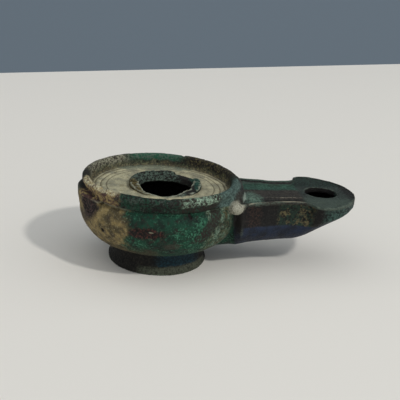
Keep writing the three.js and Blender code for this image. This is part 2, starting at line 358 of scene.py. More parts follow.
# %% The saddle between the rim and the nozzle
def saddle_section(degrees):
    """Full reach over the nozzle, drawn back at each end until it only closes the groove."""
    reach = 38.2 - 4.6 * smooth(abs(degrees), 24, 46)
    a = math.radians(degrees)
    half = [(31.6, EDGE_Z - 2.2), (reach, EDGE_Z - 2.2), (reach, EDGE_Z - 0.2), (reach - 0.4, EDGE_Z + 1.8),
            (reach - (reach - 32.2) * 0.24, EDGE_Z + 4.4), (34.3, 39.1), (31.8, 37.6)]
    return [(r * math.cos(a), r * math.sin(a), z) for r, z in half]


saddle = drawn_out("saddle", [saddle_section(turn) for turn in stations(-46, 46, 1.5)])

# %% The stub of the handle
def stub_section(height, spread, stand):
    """A ring round the wall, proud by stand and reaching spread degrees to each side."""
    shares = [-1 + 2 * k / 24 for k in range(25)]
    swell = [(-1, 0), (-0.7, 0.75), (-0.35, 1), (0, 0.9), (0.3, 1.1), (0.7, 0.7), (1, 0)]

    def at(radius, share):
        a = math.pi + math.radians(spread) * share * (1.3 if share > 0 else 1)
        return (radius * math.cos(a), radius * math.sin(a), height)

    outer = [at(RIM_R + stand * along(swell, share), share) for share in shares]
    return outer + [at(31.6, share) for share in reversed(shares)]


stub_sizes = [(20.5, 14, -3), (24, 21, 0.2), (28, 26, 1.2), (31, 28, 1.8), (33.2, 27, 1.9), (34.2, 22, 1.1)]
stub = drawn_out("stub", [stub_section(*size) for size in stub_sizes])

# %% [markdown]
# ## Joining and hollowing
#
# The casting is one piece of metal, so the parts are united and the hollows
# are cut out of them with Boolean modifiers. The filling hole's edge has
# broken away unevenly. The cutter for it is a ring of uneven radius, so the
# break is modelled and not painted.

# %% Boolean helper
def combine(target, tools, operation):
    for tool in tools:
        pick(target)
        boolean = target.modifiers.new(operation.lower(), "BOOLEAN")
        boolean.operation = operation
        boolean.solver = "MANIFOLD"
        boolean.object = tool
        bpy.ops.object.modifier_apply(modifier=boolean.name)
        bpy.data.objects.remove(tool)
    print(operation, len(target.data.polygons), "faces")


combine(lamp, [nozzle, stub, collar, *knobs, saddle], "UNION")

# %% The broken edge of the filling hole
def broken_radius(a):
    bite = 2.4 * math.cos((a + 1.87) / 2) ** 16
    return (HOLE_R + bite + 0.3 * math.sin(3 * a + 1) + 0.2 * math.sin(7 * a)
            + 0.2 * math.sin(11 * a + 2) + 0.12 * math.sin(23 * a) + 0.08 * math.sin(41 * a + 1))


def hole_ring(height, lean=0.0):
    ring = []
    for k in range(180):
        a = 2 * math.pi * k / 180
        radius = broken_radius(a) + lean * math.sqrt(max(0, math.sin(a)))
        ring.append((HOLE_X + radius * math.cos(a), radius * math.sin(a), height))
    return ring


filling_hole = drawn_out("filling_hole", [hole_ring(28), hole_ring(33.2), hole_ring(40, 3.4)])

# %% The wick hole and the worn collar
def block(name, size, middle, tilt=0.0, turn=0.0):
    pick_nothing()
    bpy.ops.mesh.primitive_cube_add(size=1)
    cutter = bpy.context.object
    cutter.name = name
    place = Matrix.Translation(middle) @ Matrix.Rotation(turn, 4, "Z") @ Matrix.Rotation(tilt, 4, "X")
    cutter.data.transform(place @ Matrix.Diagonal((*size, 1)))
    return cutter


bpy.ops.mesh.primitive_cone_add(vertices=96, radius1=7.3, radius2=7.8, depth=9, location=(75.1, 0, EDGE_Z))
wick_hole = bpy.context.object
worn_slope = block("worn_slope", (34.4, 19, 6), (HOLE_X, -8.1, COLLAR_Z + 1.9), tilt=0.155)
lost_piece = block("lost_piece", (12.5, 9, 4), (HOLE_X + 11.6, 11, TOP_Z + 2.9), turn=-0.72)
combine(lamp, [chamber, wick_way, filling_hole, wick_hole, worn_slope, lost_piece], "DIFFERENCE")

# %% [markdown]
# ## One skin, fine enough to corrode
#
# The joined mesh has long thin faces, and edges that are sharper than any cast
# edge. A voxel remesh gives it one even skin of small squares, which is what
# relief needs, and softens every edge by about a third of a millimetre.

# %% Remesh
def finished(piece, kind, **settings):
    pick(piece)
    modifier = piece.modifiers.new(kind.lower(), kind)
    for name, value in settings.items():
        setattr(modifier, name, value)
    bpy.ops.object.modifier_apply(modifier=modifier.name)
    print(kind, len(piece.data.polygons), "faces")


finished(lamp, "REMESH", mode="VOXEL", voxel_size=0.36)

# %% Keep the casting, drop specks
pick(lamp)
bpy.ops.object.mode_set(mode="EDIT")
bpy.ops.mesh.select_all(action="SELECT")
bpy.ops.mesh.separate(type="LOOSE")
bpy.ops.object.mode_set(mode="OBJECT")
shells = list(bpy.context.selected_objects)
lamp = max(shells, key=lambda shell: len(shell.data.vertices))
for shell in shells:
    if shell != lamp:
        bpy.data.objects.remove(shell)
print("kept", len(lamp.data.vertices), "vertices of", len(shells), "shells")

# %% [markdown]
# ## Time in the ground
#
# Buried bronze grows a crust in some places and loses metal in others. Sculpting
# it by hand can't be repeated, and a displacement texture knows nothing of the
# lamp. So the vertices are moved in code: smooth lumps of several sizes over
# everything outside, pits where the crust has broken through, and the named
# scars in their places. The hollow inside keeps its plain cast wall.

# %% Lumps of a given size
def chance(cells, salt):
    """A number from 0 to 1 that depends only on the cell."""
    x, y, z = (cells[..., k].astype(np.int64) & 0xFFFFFFFF for k in range(3))
    mixed = (x * 0x8DA6B343 + y * 0xD8163841 + z * 0xCB1AB31F + salt * 0x9E3779B1) & 0xFFFFFFFF
    for shift, factor in ((15, 0x85EBCA6B), (13, 0xC2B2AE35)):
        mixed = ((mixed ^ mixed >> shift) * factor) & 0xFFFFFFFF
    return (mixed ^ mixed >> 16) / 0xFFFFFFFF


def lumps(places, size, salt=0):
    """Smooth noise from -1 to 1 with lumps of that size in mm."""
    at = places / size + 500
    cell = np.floor(at)
    t = at - cell
    t = t * t * t * (t * (6 * t - 15) + 10)
    total = np.zeros(len(places))
    for corner in range(8):
        step = np.array([corner & 1, corner >> 1 & 1, corner >> 2 & 1])
        total += np.prod(np.where(step, t, 1 - t), axis=1) * chance(cell + step, salt)
    return 2 * total - 1


def pits(places, spacing, share, radius, salt=0):
    """1 at the middle of a round pit, 0 away from it."""
    at = places / spacing + 500
    home = np.floor(at)
    deepest = np.zeros(len(places))
    for corner in range(27):
        cell = home + np.array([corner % 3 - 1, corner // 3 % 3 - 1, corner // 9 - 1])
        middle = cell + np.stack([chance(cell, salt + k) for k in (1, 2, 3)], axis=1)
        reach = radius / spacing * (0.5 + chance(cell, salt + 4))
        away = np.linalg.norm(at - middle, axis=1) / reach
        bowl = np.where(chance(cell, salt + 5) < share, np.clip(1 - away**2, 0, 1), 0)
        deepest = np.maximum(deepest, bowl)
    return deepest


def ramp(value, low, high):
    t = np.clip((value - low) / (high - low), 0, 1)
    return t * t * (3 - 2 * t)


# %% Which vertices are outside
count = len(lamp.data.vertices)
spots = np.empty(count * 3)
lamp.data.vertices.foreach_get("co", spots)
spots = spots.reshape(-1, 3)
facing = np.empty(count * 3)
lamp.data.vertex_normals.foreach_get("vector", facing)
facing = facing.reshape(-1, 3)


def inside_wall(places, normals):
    """True where a surface looks towards the line down the middle of the hollow."""
    spine = np.clip(places[:, :1] / 88, 0, 1) * np.array([88, 0, 5]) + np.array([0, 0, 22])
    inward = np.einsum("ij,ij->i", normals, places - spine) < 0
    return inward & (places[:, 2] > 4) & (places[:, 2] < 32.6)


skin = np.flatnonzero(~inside_wall(spots, facing))
print("outside", len(skin), "of", count)

# %% Crust, pits and scars
P = spots[skin]
turn = np.degrees(np.arctan2(P[:, 1], P[:, 0]))
reach = np.hypot(P[:, 0], P[:, 1])
height = P[:, 2]

rough = 0.35 + 0.65 * ramp(lumps(P, 11, 1), -0.4, 0.5)
depth = 0.10 * lumps(P, 15, 2) + 0.09 * lumps(P, 6, 3) + rough * 0.07 * lumps(P, 2.6, 4)
depth += rough * 0.06 * lumps(P, 1.3, 5)
depth += 0.10 * ramp(lumps(P, 4.5, 6) + 0.3 * lumps(P, 1.6, 7), 0.15, 0.4)
depth -= rough * 0.32 * pits(P, 5.0, 0.4, 0.75, 10)
depth -= 0.22 * pits(P, 2.6, 0.3, 0.45, 20)

# Scars on the bowl: turn and height of the middle, half sizes in mm, depth.
SCARS = [
    (-104, 24.6, 8.0, 2.4, 0.75), (-97, 23.2, 3.5, 1.6, 0.5), (-138.6, 22, 1.1, 1.0, 0.7),
    (-74, 32.0, 0.9, 0.9, 0.7), (-153, 30.5, 6.0, 4.5, 0.6), (-57, 29, 2.6, 5.5, 0.3),
    (-127, 27, 2.0, 1.2, 0.3), (-84, 19, 5.0, 1.4, 0.25), (60, 22, 6.0, 2.5, 0.4),
    (118, 27, 4.0, 2.0, 0.45), (150, 19, 5.0, 2.0, 0.4),
]
ragged = 0.35 * lumps(P, 2.2, 30) + 0.2 * lumps(P, 0.9, 31)
on_bowl = (reach > 30) & (height > 9) & (height < 36) & (P[:, 0] < 33)
for angle, middle, half_along, half_up, deep in SCARS:
    across = np.radians(turn - angle) * reach / half_along
    away = np.hypot(across, (height - middle) / half_up) + ragged
    depth -= np.where(on_bowl, deep * ramp(1 - away, 0, 0.6), 0)
print("relief from", round(depth.min(), 2), "to", round(depth.max(), 2), "mm")

# %% [markdown]
# Edges suffer most. The rolled rim is chipped, worst at the back left beside
# the lost handle, and the collar is torn all round. Its vertices are pushed
# down by lumps of one to three millimetres, only near the edge.

# %% Chipped edges
worn_side = ramp(np.abs(turn + 153), 22, 8)
crest = ramp(height, 37.4, 39.0) * (reach > 30)
chips = ramp(lumps(P, 3.4, 40) + 0.4 * lumps(P, 1.2, 41), 0.42 - 0.75 * worn_side, 0.8)
drop = crest * chips * (0.35 + 0.75 * worn_side)

near_band = ramp(np.abs(turn + 63), 18, 8) * ramp(height, 35.2, 37)
drop += 0.3 * near_band * ramp(lumps(P, 2.2, 42), -0.1, 0.5) * (reach > 33)

collar_edge = np.hypot(P[:, 0] - HOLE_X, P[:, 1])
torn = ramp(height, 34.6, 36.0) * (collar_edge < 17.5) * (reach < 24)
drop += torn * (0.45 * ramp(lumps(P, 2.6, 43), -0.1, 0.7) + 0.25 * lumps(P, 1.1, 44))

ear = ramp(P[:, 0], 64, 68) * ramp(height, 30.5, 32.2)
edge_bite = ramp(lumps(P, 3.0, 45) + 0.4 * lumps(P, 1.1, 46), 0.25, 0.8)
depth -= 0.45 * ear * edge_bite * ramp(np.abs(P[:, 1]), 9, 14)

moved = P + facing[skin] * depth[:, None]
moved[:, 2] -= drop
moved[:, 2] = np.where(P[:, 2] < 0.2, 0, np.maximum(moved[:, 2], 0.05))  # it still stands flat
spots[skin] = moved
lamp.data.vertices.foreach_set("co", spots.ravel())
lamp.data.update()
print("deepest chip", round(drop.max(), 2), "mm")

# %% [markdown]
# ## Fewer faces where it is smooth
#
# The even skin has far more faces than its smooth parts need. Decimate merges
# them where little shape is lost, so the crust keeps its detail and the plain
# inside costs almost nothing. Then the lamp is scaled from millimetres to
# metres.

# %% Decimate and scale
finished(lamp, "DECIMATE", ratio=195_000 / (2 * len(lamp.data.polygons)))
pick(lamp)
bpy.ops.transform.resize(value=(MM, MM, MM))
bpy.ops.object.transform_apply(location=True, rotation=True, scale=True)
bpy.ops.object.shade_smooth()
lamp.name = "bronze_lamp"
lamp.data.name = "bronze_lamp"
print("triangles", sum(len(face.vertices) - 2 for face in lamp.data.polygons))

# %% [markdown]
# ## Edges and hollows for the finish
#
# A patina is darkest in hollows and wears through to pale green on edges. The
# mesh knows where they are: a vertex on an edge stands proud of its
# neighbours' average, and one in a hollow lies below it. That number is
# smoothed a little and kept on the mesh, where the material can read it.

# %% Measure the edges
def edge_measure(mesh, passes):
    count = len(mesh.vertices)
    places = np.empty(count * 3)
    mesh.vertices.foreach_get("co", places)
    places = places.reshape(-1, 3) / MM
    normals = np.empty(count * 3)
    mesh.vertex_normals.foreach_get("vector", normals)
    normals = normals.reshape(-1, 3)
    pairs = np.empty(len(mesh.edges) * 2, dtype=np.int64)
    mesh.edges.foreach_get("vertices", pairs)
    a, b = pairs.reshape(-1, 2).T
    ends, others = np.concatenate([a, b]), np.concatenate([b, a])
    neighbours = np.maximum(np.bincount(ends, minlength=count), 1)

    def average(values):
        return np.bincount(ends, weights=values[others], minlength=count) / neighbours

    within = inside_wall(places, normals)
    for _ in range(2):
        places = np.stack([average(places[:, k]) for k in range(3)], axis=1)
    middle = np.stack([average(places[:, k]) for k in range(3)], axis=1)
    proud = np.einsum("ij,ij->i", places - middle, normals)
    for _ in range(passes):
        proud = average(proud)
    return proud, within


def keep_on_mesh(name, values):
    held = lamp.data.attributes.new(name, "FLOAT", "POINT")
    held.data.foreach_set("value", values.astype(np.float32))


proud, within = edge_measure(lamp.data, 2)
scale = np.percentile(np.abs(proud), 97)
keep_on_mesh("proud", np.clip(proud / scale, -1, 1))
keep_on_mesh("within", within)
print("edges stand proud by up to", round(scale, 4), "mm")

# %% [markdown]
# ## Shader maths as plain sums
#
# The patina is worked out from where a point lies on the lamp, which takes a
# lot of sums. A small class wraps a node's output, so that a sum of masks is
# written as Python and becomes Math nodes by itself. One method makes every
# other node from its type, its settings and its sockets.

# %% A wire that can be added and multiplied
class Wire:
    def __init__(self, finish, socket):
        self.finish = finish
        self.socket = socket

    def sum(self, operation, first, second):
        return self.finish.out("ShaderNodeMath", {"operation": operation}, {0: first, 1: second})

    def __add__(self, other):
        return self.sum("ADD", self, other)

    def __sub__(self, other):
        return self.sum("SUBTRACT", self, other)

    def __rsub__(self, other):
        return self.sum("SUBTRACT", other, self)

    def __mul__(self, other):
        return self.sum("MULTIPLY", self, other)

    def __truediv__(self, other):
        return self.sum("DIVIDE", self, other)

    __radd__ = __add__
    __rmul__ = __mul__


# %% A finish is a material's node tree
class Finish:
    def __init__(self, name):
        self.material = bpy.data.materials.new(name)
        self.material.use_nodes = True
        self.tree = self.material.node_tree
        self.tree.nodes.clear()

    def node(self, kind, settings=None, sockets=None):
        made = self.tree.nodes.new(kind)
        for name, value in (settings or {}).items():
            setattr(made, name, value)
        for name, value in (sockets or {}).items():
            if isinstance(value, Wire):
                self.tree.links.new(value.socket, made.inputs[name])
            else:
                made.inputs[name].default_value = value
        return made

    def out(self, kind, settings=None, sockets=None, output=0):
        return Wire(self, self.node(kind, settings, sockets).outputs[output])

    def step(self, value, low, high):
        """0 below low and 1 above high, or the other way round where low is above high."""
        sockets = {"Value": value, "From Min": min(low, high), "From Max": max(low, high)}
        if low > high:
            sockets |= {"To Min": 1.0, "To Max": 0.0}
        return self.out("ShaderNodeMapRange", {"interpolation_type": "SMOOTHSTEP"}, sockets)

    def band(self, value, low, high, soft):
        return self.step(value, low - soft, low + soft) * self.step(value, high + soft, high - soft)

    def mix(self, share, below, above):
        settings = {"data_type": "RGBA", "clamp_factor": True}
        return self.out("ShaderNodeMix", settings, {0: share, 6: below, 7: above}, output=2)


def paint(red, green, blue):
    """A colour as a painter reads it off a chart, 0 to 255, turned into light."""
    def light(v):
        v /= 255
        return v / 12.92 if v <= 0.04045 else ((v + 0.055) / 1.055) ** 2.4

    return (light(red), light(green), light(blue), 1.0)


# %% Where a point lies on the lamp, in mm and degrees
patina = Finish("bronze_patina")
held_place = patina.out("ShaderNodeTexCoord", output=3)
place = patina.out("ShaderNodeVectorMath", {"operation": "SCALE"}, {0: held_place, "Scale": 1000.0})
parts = patina.node("ShaderNodeSeparateXYZ", None, {0: place})
x, y, z = (Wire(patina, parts.outputs[k]) for k in range(3))
radius = (x * x + y * y).sum("POWER", x * x + y * y, 0.5)
turn_at = x.sum("ARCTAN2", y, x) * 57.2958
proud = patina.out("ShaderNodeAttribute", {"attribute_name": "proud"}, None, output=2)


def cloud(size, detail=4.0, roughness=0.6, distortion=0.0, shift=0.0):
    """Soft noise from 0 to 1, with lumps of that size in mm."""
    moved = patina.out("ShaderNodeVectorMath", {"operation": "ADD"}, {0: place, 1: (shift, shift, shift)})
    sockets = {"Vector": moved, "Scale": 1 / size, "Detail": detail, "Roughness": roughness,
               "Distortion": distortion}
    return patina.out("ShaderNodeTexNoise", None, sockets)


print("patina has", len(patina.tree.nodes), "nodes so far")

# %% [markdown]
# ## The colours of old bronze
#
# A lamp like this has no one colour. Where it lay in damp soil, copper salts
# made it teal and malachite green. Where air reached it, it is olive and brown,
# and bare lines of black oxide run between. Each zone below is a mask made from
# place, torn at its edge by noise, because real corrosion fronts are ragged.

# %% Paints
teal_dark, teal, malachite = paint(10, 46, 34), paint(20, 86, 62), paint(74, 146, 112)
olive, gold, earth = paint(104, 94, 60), paint(146, 128, 84), paint(74, 66, 44)
soot_and_shade, brown, red_brown, purple = paint(24, 21, 18), paint(58, 48, 40), paint(96, 50, 40), paint(72, 50, 46)
cream, stone, deposit = paint(184, 178, 146), paint(134, 132, 112), paint(168, 166, 150)
pale_green, grey_green, slate = paint(158, 184, 158), paint(82, 100, 88), paint(52, 62, 74)

# %% Shared noise
jag = cloud(3.2, detail=6, roughness=0.65) - 0.5
drift = cloud(9, detail=4, shift=40) - 0.5
fine = cloud(0.9, detail=5, roughness=0.7, shift=80)
grit = cloud(0.42, detail=3, roughness=0.7, shift=120)
blotch = cloud(2.4, detail=6, roughness=0.6, distortion=0.6, shift=160)

# %% Zones by place
def patch(angle, middle, half_along, half_up, rag=1.1, soft=0.3):
    """A ragged spot on the round body. Its middle is a turn and a height, its half sizes are mm."""
    across = (turn_at - angle) * (0.611 / half_along)
    up = (z - middle) * (1 / half_up)
    away = (across * across + up * up).sum("POWER", across * across + up * up, 0.5)
    return patina.step(away + jag * rag, 1 + soft, 1 - soft)


def spot(middle, halves, rag=0.9, soft=0.3):
    """A ragged spot anywhere, from its middle and half sizes in mm."""
    total = None
    for axis, centre, half in zip((x, y, z), middle, halves):
        share = (axis - centre) * (1 / half)
        total = share * share if total is None else total + share * share
    away = total.sum("POWER", total, 0.5)
    return patina.step(away + jag * rag, 1 + soft, 1 - soft)


on_nozzle = patina.step(radius, 35.3, 36.6) * patina.step(x, 14, 20)
on_foot = patina.step(z, 10.9, 10.1) * patina.step(radius, 25.5, 24.8)
from_hole = (x - HOLE_X) * (x - HOLE_X) + y * y
collar_top = patina.step(from_hole, 17.4**2, 16.7**2) * patina.step(z + jag, 34.3, 34.7)
hole_wall = patina.step(from_hole, 14.6**2, 14.0**2) * patina.step(z, 32, 32.4) * patina.step(y, -6, -3)
on_collar = collar_top + hole_wall
on_top = patina.step(radius + jag * 0.8, 31.9, 31.3) * patina.step(z, 33, 33.5)
on_rim = patina.step(z + jag * 0.6, 32.7, 33.3) * (1 - on_top)

# %% [markdown]
# ### The bowl
#
# Teal covers the near side, speckled with malachite grains. It gives way to
# olive and gold earth towards the lost handle, and the far side repeats the
# same mixture more plainly.

# %% Bowl colours
def deep(colour, share):
    """The same colour with only that share of its light."""
    return patina.out("ShaderNodeVectorMath", {"operation": "SCALE"}, {0: colour, "Scale": share})


green = patina.mix(patina.step(cloud(5, detail=5, shift=200), 0.36, 0.62), teal_dark, teal)
green = patina.mix(patina.step(blotch, 0.52, 0.66) * 0.75, green, brown)
green = patina.mix(patina.step(fine + drift * 0.5, 0.54, 0.68), green, malachite)
green = deep(patina.mix(patina.step(grit, 0.60, 0.72) * 0.7, green, soot_and_shade), 0.46)

tan = patina.mix(patina.step(cloud(4, detail=6, shift=240), 0.34, 0.64), earth, gold)
tan = patina.mix(patina.step(blotch + drift * 0.4, 0.56, 0.7) * 0.7, tan, brown)
tan = patina.mix(patina.step(fine, 0.56, 0.7) * 0.5, tan, cream)
tan = deep(patina.mix(patina.step(grit, 0.58, 0.7) * 0.7, tan, soot_and_shade), 0.9)

towards_handle = patina.step(turn_at + drift * 26 + jag * 9, -116, -122) + patina.step(turn_at + drift * 40, 152, 160)
bowl = patina.mix(towards_handle, green, tan)
lower_left = patina.step(z + drift * 8 + jag * 4, 19, 14) * patina.band(turn_at + jag * 12, -150, -96, 8)
bowl = patina.mix(lower_left * 0.8, bowl, deep(patina.mix(patina.step(fine, 0.4, 0.62), earth, olive), 0.4))
far_earth = patina.step(cloud(13, detail=4, shift=280), 0.5, 0.6) * patina.step(turn_at, 20, 45)
bowl = patina.mix(far_earth * 0.8, bowl, tan)

# %% Named marks on the bowl
bowl = patina.mix(patch(-155, 30, 5.6, 6.2), bowl, deep(patina.mix(patina.step(fine, 0.44, 0.6), soot_and_shade, purple), 0.75))
bowl = patina.mix(patch(-163, 24, 4.5, 3) * 0.7, bowl, brown)
slanted = turn_at - (z * 1.364 - 95)
streak = patina.step((slanted * slanted).sum("POWER", slanted * slanted, 0.5) + jag * 9, 7.5, 4) * patina.band(z + jag * 3, 20, 33, 1)
near_neck = patina.band(turn_at + jag * 14, -60, -34, 3)
bowl = patina.mix(near_neck * patina.step(fine, 0.38, 0.6) * 0.75, bowl, deep(patina.mix(patina.step(jag, -0.05, 0.1), olive, pale_green), 0.6))
bowl = patina.mix(streak * 0.9, bowl, deep(patina.mix(patina.step(fine, 0.5, 0.64), brown, teal), 0.4))
gash = patch(-104, 24.6, 7.6, 2.6, rag=1.5, soft=0.25)
bowl = patina.mix(gash, bowl, deep(patina.mix(patina.step(fine, 0.48, 0.62), soot_and_shade, red_brown), 0.55))
bowl = patina.mix(patch(-101.5, 25.4, 1.0, 0.35, rag=0.5), bowl, stone)
bowl = patina.mix(patch(-86, 19, 4, 1.6, rag=1.4) * 0.6, bowl, brown)
bowl = patina.mix(patch(-74, 31.6, 0.8, 0.8, rag=0.3), bowl, soot_and_shade)
bowl = patina.mix(patch(-138.6, 22, 1.1, 1.0, rag=0.4), bowl, soot_and_shade)
bowl = patina.mix(patch(-72, 21, 7, 4.5, rag=1.6) * patina.step(fine, 0.5, 0.66) * 0.3, bowl, malachite)

# %% [markdown]
# ### The rim
#
# The band above the groove is the most handled edge and the most broken. From
# the handle's side round to the nozzle it goes from torn purple-brown through
# dark green to pale worn chips and a grey-teal end.

# %% Rim colours
band_dark = patina.mix(patina.step(fine + drift * 0.4, 0.44, 0.6), soot_and_shade, patina.mix(patina.step(blotch, 0.45, 0.6), teal, grey_green))
rim = patina.mix(patina.band(turn_at + jag * 16, -128, -84, 6) * 0.9, patina.mix(patina.step(fine, 0.45, 0.62), brown, green), band_dark)
torn_left = patina.band(turn_at + jag * 14, -172, -128, 4)
rim = deep(rim, 0.45)
rim = patina.mix(torn_left, rim, patina.mix(patina.step(blotch + jag * 0.3, 0.46, 0.58), purple, gold))
# The top of the torn crest is cream, partly its pale break and partly a painted highlight.
rim = patina.mix(torn_left * patina.step(z + jag * 2.5, 37.8, 38.8) * patina.step(fine, 0.42, 0.56), rim, cream)
chipped = patina.band(turn_at + jag * 12, -80, -50, 4) * patina.step(z + jag * 3.4, 35.6, 36.8)
rim = patina.mix(chipped * patina.step(fine + jag * 0.5, 0.42, 0.6), rim, patina.mix(patina.step(grit, 0.4, 0.6), pale_green, grey_green))
rim_end = patina.band(turn_at + jag * 8, -49, -6, 4)
rim = patina.mix(rim_end, rim, patina.mix(patina.step(fine, 0.42, 0.62), paint(48, 64, 60), paint(86, 108, 100)))
back_teal = patina.band(turn_at + jag * 20, 66, 112, 8) * patina.step(z + jag * 3, 36, 38)
rim = patina.mix(back_teal * 0.8, rim, patina.mix(patina.step(fine, 0.4, 0.6), teal, grey_green))
left_back = patina.band(turn_at + jag * 18, 116, 168, 8)
rim = patina.mix(left_back * patina.step(fine + jag * 0.4, 0.4, 0.58), rim, stone)
right_back = patina.band(turn_at + jag * 12, 6, 62, 8)
rim = patina.mix(right_back * 0.85, rim, patina.mix(patina.step(fine, 0.48, 0.64), soot_and_shade, olive))

# %% [markdown]
# ### The sunk top and the collar
#
# Earth has baked onto the sunk disc as a cream skin, thin enough for the turned
# lines to show brown through it. The collar was bare metal for longer and has
# gone dark, brown on its left, teal on its right. The rest of its right part,
# with the far wall of the hole, is painted near black as painted shade.

# %% Top and collar colours
top = patina.mix(patina.step(cloud(6, detail=6, shift=320), 0.34, 0.66), stone, cream)
top = patina.mix(patina.step(blotch, 0.55, 0.68) * 0.55, top, olive)
top = patina.mix(patina.step(grit, 0.6, 0.74) * 0.45, top, brown)
rings = (radius * 2.4 + jag * 1.2).sum("SINE", radius * 2.4 + jag * 1.2, 0.0)
top = patina.mix(patina.step(rings, 0.55, 1.0) * patina.step(radius, 21, 25) * 0.75, top, earth)
top = patina.mix(patina.step(radius + jag * 2.4, 29.6, 31.0) * 0.85, top, patina.mix(patina.step(fine, 0.45, 0.6), soot_and_shade, olive))
top = patina.mix(patina.step(radius + jag * 2.0, 31.6, 30.6) * patina.step(y + jag * 6, 22, 27) * 0.5, top, grey_green)

collar_dark_and_shade = patina.mix(patina.step(fine, 0.42, 0.62), soot_and_shade, grey_green)
# painted shade: the right part of the collar and the far wall of the hole are painted near black
collar_dark_and_shade = patina.mix(patina.step(x + jag * 4, 8, 11), collar_dark_and_shade, paint(20, 18, 14))
collar_left = patina.mix(patina.step(fine, 0.42, 0.62), paint(38, 32, 16), paint(96, 84, 42))
collar_skin = patina.mix(patina.step(x + jag * 5, 0, -6) * patina.step(y + jag * 3, 6, 0), collar_dark_and_shade, collar_left)
right_top = patina.step(x + jag * 4, 13.6, 15) * patina.step(z, 34.6, 35.4)
collar_skin = patina.mix(right_top, collar_skin, patina.mix(patina.step(fine, 0.42, 0.62), paint(14, 34, 28), paint(36, 80, 66)))
torn_edge = patina.step(proud + jag * 0.8, 0.15, 0.6)
collar_skin = patina.mix(torn_edge * patina.step(y + jag * 6, 4, -4) * 0.8, collar_skin, patina.mix(patina.step(fine, 0.45, 0.55), stone, paint(150, 156, 140)))

# %% [markdown]
# ### The nozzle
#
# Its top is striped along its length: a dark channel by the near edge, a fine
# pale line, a brown panel and a green far side. The pale line on the near edge
# is bare metal, polished by years of fingers trimming the wick.

# %% Nozzle colours
away_57 = x - 57.5
half_top = away_57 * away_57 * 0.0105 + 15.3
on_neck = patina.step(x + jag * 2, 66, 63)
across = y + jag * 1.2
panel = patina.mix(patina.step(fine + drift * 0.3, 0.42, 0.6), paint(50, 46, 40), paint(78, 72, 62))
panel = patina.mix(patina.step(across, 1.4, 3.2), panel, patina.mix(patina.step(fine + jag * 0.4, 0.44, 0.6), paint(44, 70, 58), paint(78, 124, 102)))
panel = patina.mix(patina.step(across, 12.2, 13.4) * 0.8, panel, grey_green)
panel = patina.mix(patina.step(across, -8.6, -9.4), panel, patina.mix(patina.step(fine, 0.44, 0.6), soot_and_shade, paint(54, 54, 48)))
panel = patina.mix(patina.step(y, -13.2, -14.4) * 0.7, panel, patina.mix(patina.step(fine, 0.44, 0.6), brown, paint(72, 84, 74)))
wick_end = patina.mix(patina.step(fine + drift * 0.5, 0.40, 0.62), paint(48, 54, 48), paint(84, 98, 88))
wick_end = patina.mix(patina.step(y + jag * 6, -6, -11) * 0.7, wick_end, paint(104, 122, 108))
wick_end = patina.mix(patina.step(y + jag * 6, 6, 10) * 0.55, wick_end, patina.mix(patina.step(fine, 0.45, 0.6), soot_and_shade, teal))
wick_end = patina.mix(patina.step(x + jag * 5, 84, 88) * 0.7, wick_end, patina.mix(patina.step(fine, 0.45, 0.6), soot_and_shade, brown))
nozzle_top = patina.mix(on_neck, deep(wick_end, 0.42), deep(panel, 0.55))

flank = patina.mix(patina.step(fine + drift * 0.4, 0.52, 0.68), paint(6, 5, 4), paint(30, 27, 23))
flank = patina.mix(patina.band(x + jag * 5, 37, 43, 1.5) * patina.step(fine, 0.42, 0.6) * 0.7, flank, paint(52, 32, 24))
mottle = patina.mix(patina.step(blotch, 0.46, 0.58), paint(22, 46, 34), paint(92, 84, 56))
flank = patina.mix(patina.band(x + jag * 4, 52, 67, 1.5) * patina.step(fine + jag * 0.3, 0.4, 0.56) * 0.9, flank, mottle)
flank = patina.mix(patina.step(x + jag * 4, 70, 73), flank, patina.mix(patina.step(fine + jag * 0.4, 0.42, 0.6), paint(10, 26, 23), paint(50, 76, 68)))
# The nozzle's underside is dark blue-green patina, partly painted shade where it faces the floor.
underside_patina_and_shade = patina.mix(patina.step(cloud(5, shift=360), 0.4, 0.64), paint(22, 34, 54), paint(13, 20, 32))
low_line = patina.step(z + jag * 0.8, 22.4, 21.4) * patina.step(x, 76, 66) + patina.step(x, 66, 76) * patina.step(z - x * 0.4, -4.6, -5.6)
flank = patina.mix(low_line, flank, underside_patina_and_shade)
nozzle_skin = patina.mix(patina.step(z + jag * 0.3, 31.5, 31.9), flank, nozzle_top)

# %% [markdown]
# Three bare lines are drawn last on the nozzle, since they are the newest
# marks: the polished edge, the bead beside the channel, and the seam where the
# rim's fillet meets the nozzle.

# %% Lines on the nozzle
along_neck = patina.band(x + jag * 1.5, 37.5, 64, 1)
off_edge = y + half_top - 0.8
edge_line = patina.band(off_edge, -0.38, 0.38, 0.16) * along_neck * patina.step(z, 32.2, 32.6)
bead_line = patina.band(y + half_top * 0.54, -0.3, 0.3, 0.16) * along_neck * patina.step(z, 32.0, 32.3)
nozzle_skin = patina.mix(edge_line * patina.step(fine, 0.3, 0.45), nozzle_skin, paint(160, 152, 130))
nozzle_skin = patina.mix(bead_line * patina.step(fine, 0.44, 0.56) * 0.7, nozzle_skin, paint(140, 134, 116))
root_patch = spot((40.5, -9.5, 33), (4.4, 8.5, 2.5), rag=0.9)
nozzle_skin = patina.mix(root_patch * patina.step(fine, 0.36, 0.6) * 0.85, nozzle_skin, paint(98, 126, 110))

# %% Foot colours
foot = patina.mix(patina.step(fine, 0.45, 0.62), paint(7, 6, 4), paint(26, 22, 15))
